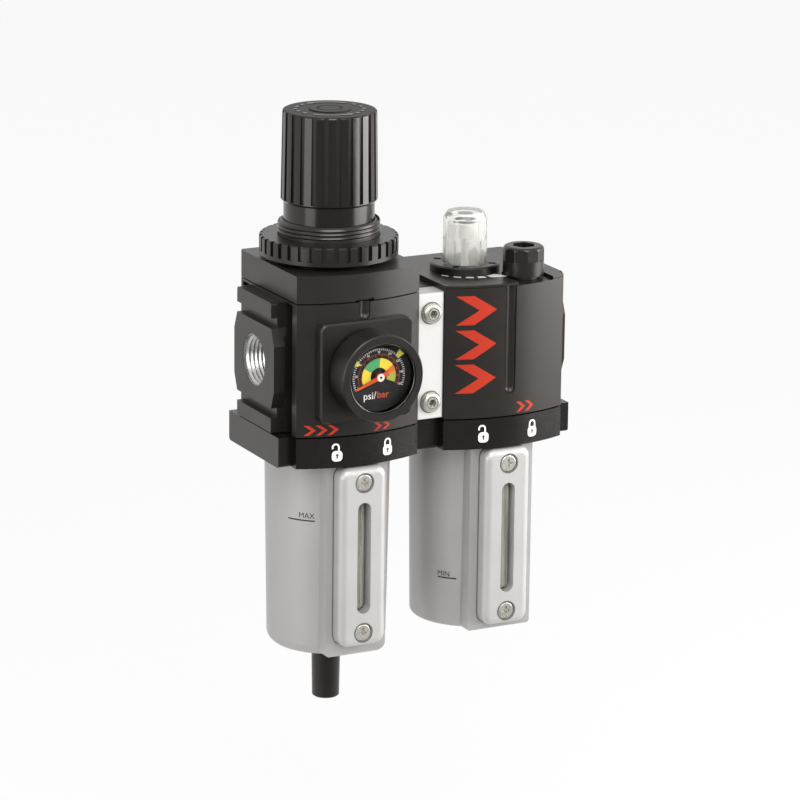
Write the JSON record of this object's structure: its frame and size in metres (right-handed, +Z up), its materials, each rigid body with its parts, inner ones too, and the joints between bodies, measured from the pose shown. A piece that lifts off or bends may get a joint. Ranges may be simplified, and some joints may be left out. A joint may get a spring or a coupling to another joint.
{
  "type": "filter regulator lubricator",
  "caption": "Modular compressed-air filter regulator with a front pressure gauge, clamped beside a lubricator; both have metal bowls with level windows.",
  "frame": {"origin": "centre of the inlet port's mouth, on the left module's outer face", "axes": "+X along the air flow from inlet to outlet, +Y to the back, +Z up; the gauge faces -Y"},
  "size_m": [0.134, 0.0789, 0.2501],
  "materials": {
    "casting": "painted black, satin",
    "cover": "satin",
    "knob": "smooth",
    "bowl_metal": "fine blasted, silver",
    "clamp_metal": "painted silver, satin",
    "nickel": "bright plated",
    "rubber": "matte",
    "clear": "clear moulded",
    "glass": "clear, wet from inside",
    "dial": "printed",
    "needle": "painted",
    "marker": "moulded",
    "brass": "machined",
    "element": "porous",
    "black_plastic": "satin",
    "spring_steel": "drawn wire"
  },
  "bodies": {
    "modules": {"filter_body": "casting", "filter_front_cover": "cover", "filter_lock_collar": "cover", "lubricator_lock_collar": "cover", "bonnet": "cover", "diaphragm": "rubber", "diaphragm_plate": "brass", "control_spring": "spring_steel", "valve_guide": "black_plastic", "valve_spring": "spring_steel", "deflector": "black_plastic", "filter_element": "element", "filter_baffle": "black_plastic", "element_tie_rod": "brass", "gauge_case": "black_plastic", "gauge_bezel": "black_plastic", "gauge_lens": "clear", "gauge_dial": "dial", "lubricator_body": "casting", "lubricator_front_cover": "cover", "lubricator_top_plate": "cover", "drip_ring": "black_plastic", "drip_tube": "brass", "dip_tube": "clear", "flow_vane": "rubber", "oil_strainer": "element", "port_seal": "rubber", "clamp_front": "clamp_metal", "clamp_rear": "clamp_metal", "clamp_screws": "nickel"},
    "panel_nut": {"panel_nut": "black_plastic"},
    "adjusting_screw": {"adjusting_screw": "brass"},
    "adjusting_knob": {"adjusting_knob": "knob"},
    "spring_button": {"spring_button": "brass"},
    "valve": {"valve_poppet": "brass"},
    "filter_bowl_seal": {"filter_bowl_ring": "rubber"},
    "filter_bowl": {"filter_bowl": "bowl_metal", "filter_window_gasket": "rubber", "filter_sight_glass": "glass", "filter_window_plate": "bowl_metal", "filter_window_screws": "nickel", "drain_cage": "black_plastic", "drain_spring": "spring_steel"},
    "drain": {"drain_stem": "black_plastic"},
    "lubricator_bowl_seal": {"lubricator_bowl_ring": "rubber"},
    "lubricator_bowl": {"lubricator_bowl": "bowl_metal", "lubricator_window_gasket": "rubber", "lubricator_sight_glass": "glass", "lubricator_window_plate": "bowl_metal", "lubricator_window_screws": "nickel"},
    "drip_adjuster": {"sight_dome": "clear", "needle_valve": "brass"},
    "fill_cap_seal": {"fill_cap_ring": "rubber"},
    "fill_cap": {"fill_cap": "black_plastic"},
    "gauge_needle": {"gauge_needle": "needle"},
    "low_marker": {"gauge_marker_low": "marker"},
    "high_marker": {"gauge_marker_high": "marker"}
  },
  "joints": [
    {"name": "panel_nut_turn", "type": "hinge", "parent": "modules", "child": "panel_nut", "pos_m": [0.0335, 0, 0.0455], "axis": [0, 0, 1], "continuous": true},
    {"name": "pressure_turn", "type": "hinge", "parent": "modules", "child": "adjusting_screw", "pos_m": [0.0335, 0, 0.055], "axis": [0, 0, 1], "range_deg": [-1800, 0]},
    {"name": "knob_lock_lift", "type": "slide", "parent": "adjusting_screw", "child": "adjusting_knob", "axis": [0, 0, 1], "range_m": [0, 0.0036]},
    {"name": "spring_button_travel", "type": "slide", "parent": "modules", "child": "spring_button", "axis": [0, 0, 1], "range_m": [-0.0075, 0], "deforming": ["control_spring"]},
    {"name": "valve_lift", "type": "slide", "parent": "modules", "child": "valve", "axis": [0, 0, 1], "range_m": [-0.0015, 0], "stiffness_N_per_m": 500, "springref_m": 0.003, "deforming": ["valve_spring"]},
    {"name": "filter_bowl_drop", "type": "slide", "parent": "modules", "child": "filter_bowl_seal", "axis": [0, 0, 1], "range_m": [-0.1, 0]},
    {"name": "filter_bowl_turn", "type": "hinge", "parent": "filter_bowl_seal", "child": "filter_bowl", "pos_m": [0.0335, 0, -0.033], "axis": [0, 0, 1], "range_deg": [-38, 0]},
    {"name": "drain_push", "type": "slide", "parent": "filter_bowl", "child": "drain", "axis": [0, 0, 1], "range_m": [0, 0.0025], "stiffness_N_per_m": 400, "springref_m": -0.003, "deforming": ["drain_spring"]},
    {"name": "lubricator_bowl_drop", "type": "slide", "parent": "modules", "child": "lubricator_bowl_seal", "axis": [0, 0, 1], "range_m": [-0.1, 0]},
    {"name": "lubricator_bowl_turn", "type": "hinge", "parent": "lubricator_bowl_seal", "child": "lubricator_bowl", "pos_m": [0.1005, 0, -0.033], "axis": [0, 0, 1], "range_deg": [-38, 0]},
    {"name": "drip_rate_turn", "type": "hinge", "parent": "modules", "child": "drip_adjuster", "pos_m": [0.0946, -0.0032, 0.03], "axis": [0, 0, 1], "range_deg": [-300, 0]},
    {"name": "fill_cap_lift", "type": "slide", "parent": "modules", "child": "fill_cap_seal", "axis": [0, 0, 1], "range_m": [0, 0.025]},
    {"name": "fill_cap_turn", "type": "hinge", "parent": "fill_cap_seal", "child": "fill_cap", "pos_m": [0.1128, -0.0205, 0.023], "axis": [0, 0, 1], "range_deg": [0, 720]},
    {"name": "gauge_sweep", "type": "hinge", "parent": "modules", "child": "gauge_needle", "pos_m": [0.0335, -0.047, 0.0004], "axis": [0, 1, 0], "range_deg": [0, 225]},
    {"name": "low_marker_turn", "type": "hinge", "parent": "modules", "child": "low_marker", "pos_m": [0.0335, -0.0466, 0.0004], "axis": [0, 1, 0], "range_deg": [-54, 80]},
    {"name": "high_marker_turn", "type": "hinge", "parent": "modules", "child": "high_marker", "pos_m": [0.0335, -0.0466, 0.0004], "axis": [0, 1, 0], "range_deg": [-8, 66]}
  ],
  "couplings": [
    {"joint": "spring_button_travel", "follows": "pressure_turn", "m_per_rad": 0.00023825}
  ]
}
